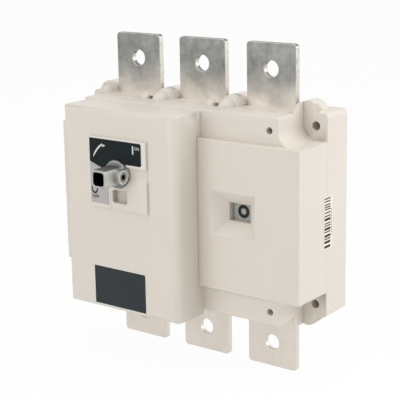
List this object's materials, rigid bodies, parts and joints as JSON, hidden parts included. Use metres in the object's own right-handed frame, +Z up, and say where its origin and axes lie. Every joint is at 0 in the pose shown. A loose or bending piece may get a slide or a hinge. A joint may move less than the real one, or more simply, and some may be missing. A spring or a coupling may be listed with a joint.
{
  "type": "switch disconnector",
  "caption": "Moulded load-break switch disconnector with flat terminal tabs, a rotary square-socket drive and a contact position window.",
  "frame": {"origin": "centre of the four fixing holes on the back plane of the case", "axes": "+X along the poles to the right seen from the front, +Y from the front to the back, +Z up, towards the line terminals"},
  "size_m": [0.2303, 0.1224, 0.26],
  "materials": {
    "case_moulding": "cream glass-filled moulding, satin",
    "dark_film": "printed slate-blue film, satin",
    "grey_film": "printed light grey film",
    "sticker_paper": "white paper-like sticker",
    "bearing_brass": "plain turned",
    "screw_steel": "zinc plated",
    "tinned_copper": "tinned, matt, lightly scuffed",
    "chute_steel": "plain steel plates in fibre cheeks",
    "spring_steel": "plain spring steel",
    "shaft_steel": "turned and milled steel",
    "cast_zinc": "die-cast zinc alloy, matt",
    "carriage_moulding": "dark grey moulding",
    "contact_copper": "silver-plated copper",
    "flag_plastic": "light grey moulding",
    "mark_print": "black print"
  },
  "bodies": {
    "case": {"rear_case": "case_moulding", "front_case": "case_moulding", "mechanism_housing": "case_moulding", "indication_plate": "case_moulding", "on_film": "dark_film", "off_film": "grey_film", "rating_label": "dark_film", "side_sticker": "sticker_paper", "front_bearing": "bearing_brass", "rear_bearing": "bearing_brass", "case_screws": "screw_steel", "housing_screws": "screw_steel", "terminal_line_1": "tinned_copper", "terminal_line_2": "tinned_copper", "terminal_line_3": "tinned_copper", "terminal_load_1": "tinned_copper", "terminal_load_2": "tinned_copper", "terminal_load_3": "tinned_copper", "terminal_screws": "screw_steel", "arc_chute_line_1": "chute_steel", "arc_chute_line_2": "chute_steel", "arc_chute_line_3": "chute_steel", "arc_chute_load_1": "chute_steel", "arc_chute_load_2": "chute_steel", "arc_chute_load_3": "chute_steel", "drive_spring": "spring_steel", "spring_post": "screw_steel"},
    "drive_shaft": {"operating_shaft": "shaft_steel", "shaft_sleeve": "cast_zinc", "set_screw": "screw_steel", "drive_pinion": "shaft_steel", "shaft_clip": "spring_steel", "spring_lever": "shaft_steel"},
    "carriage": {"contact_carriage": "carriage_moulding", "drive_rack": "shaft_steel", "rack_screws": "screw_steel", "moving_contact_1": "contact_copper", "moving_contact_2": "contact_copper", "moving_contact_3": "contact_copper", "contact_springs": "spring_steel", "indicator_flag": "flag_plastic", "flag_marks": "mark_print"}
  },
  "joints": [
    {"name": "shaft_turn", "type": "hinge", "parent": "case", "child": "drive_shaft", "pos_m": [-0.031, -0.098, 0.03], "axis": [0, 1, 0], "range_deg": [0, 90], "deforming": ["drive_spring"]},
    {"name": "carriage_slide", "type": "slide", "parent": "case", "child": "carriage", "axis": [-1, 0, 0], "range_m": [0, 0.02356]}
  ],
  "couplings": [
    {"joint": "shaft_turn", "follows": "carriage_slide", "rad_per_m": 66.667}
  ]
}
